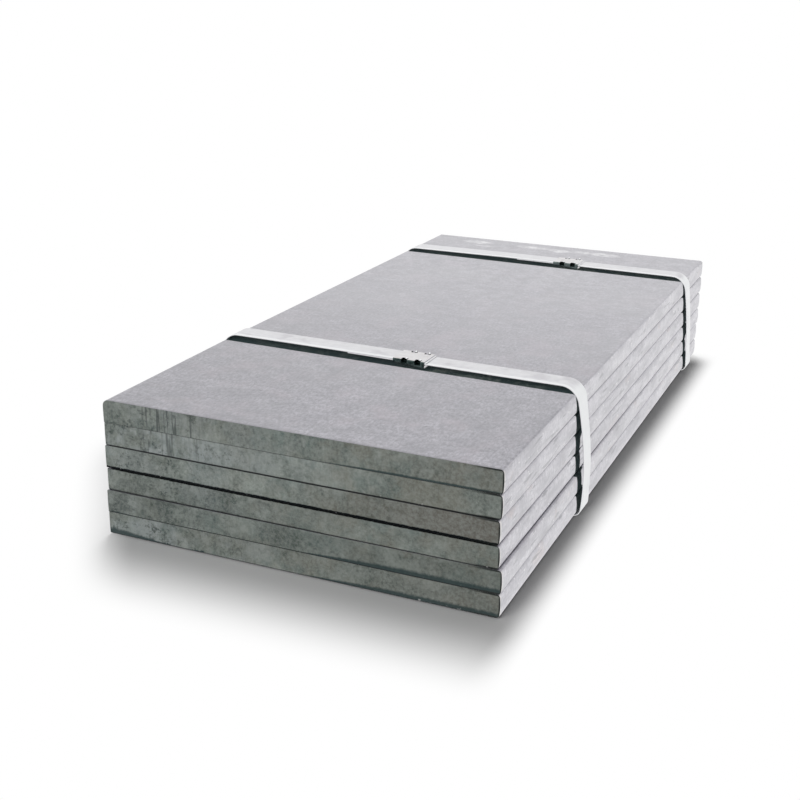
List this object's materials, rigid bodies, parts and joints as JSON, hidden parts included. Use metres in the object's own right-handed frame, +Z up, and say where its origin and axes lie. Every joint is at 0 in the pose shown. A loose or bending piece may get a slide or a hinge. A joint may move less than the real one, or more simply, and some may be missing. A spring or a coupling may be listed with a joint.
{
  "type": "steel plate",
  "caption": "Strapped stack of thick hot-rolled steel plates with crowned long edges and cut ends, held by two steel straps with notched crimp seals.",
  "frame": {"origin": "middle of the footprint, on the floor", "axes": "+Z up, Y along the plates with the front cut ends at -Y, X across the plates"},
  "size_m": [0.4582, 0.9424, 0.1649],
  "materials": {
    "plate_steel": "hot-rolled and descaled, matt grey with cloudy mottling and scratches, darker dirty cut ends",
    "strap_steel": "bright zinc-coated strapping, smooth, lightly scuffed",
    "seal_steel": "zinc-coated seal, crimped and scuffed"
  },
  "bodies": {
    "root": {"plate_1": "plate_steel", "plate_2": "plate_steel", "plate_3": "plate_steel", "plate_4": "plate_steel", "plate_5": "plate_steel", "plate_6": "plate_steel", "strap_front": "strap_steel", "seal_front": "seal_steel", "strap_rear": "strap_steel", "seal_rear": "seal_steel"}
  },
  "joints": []
}
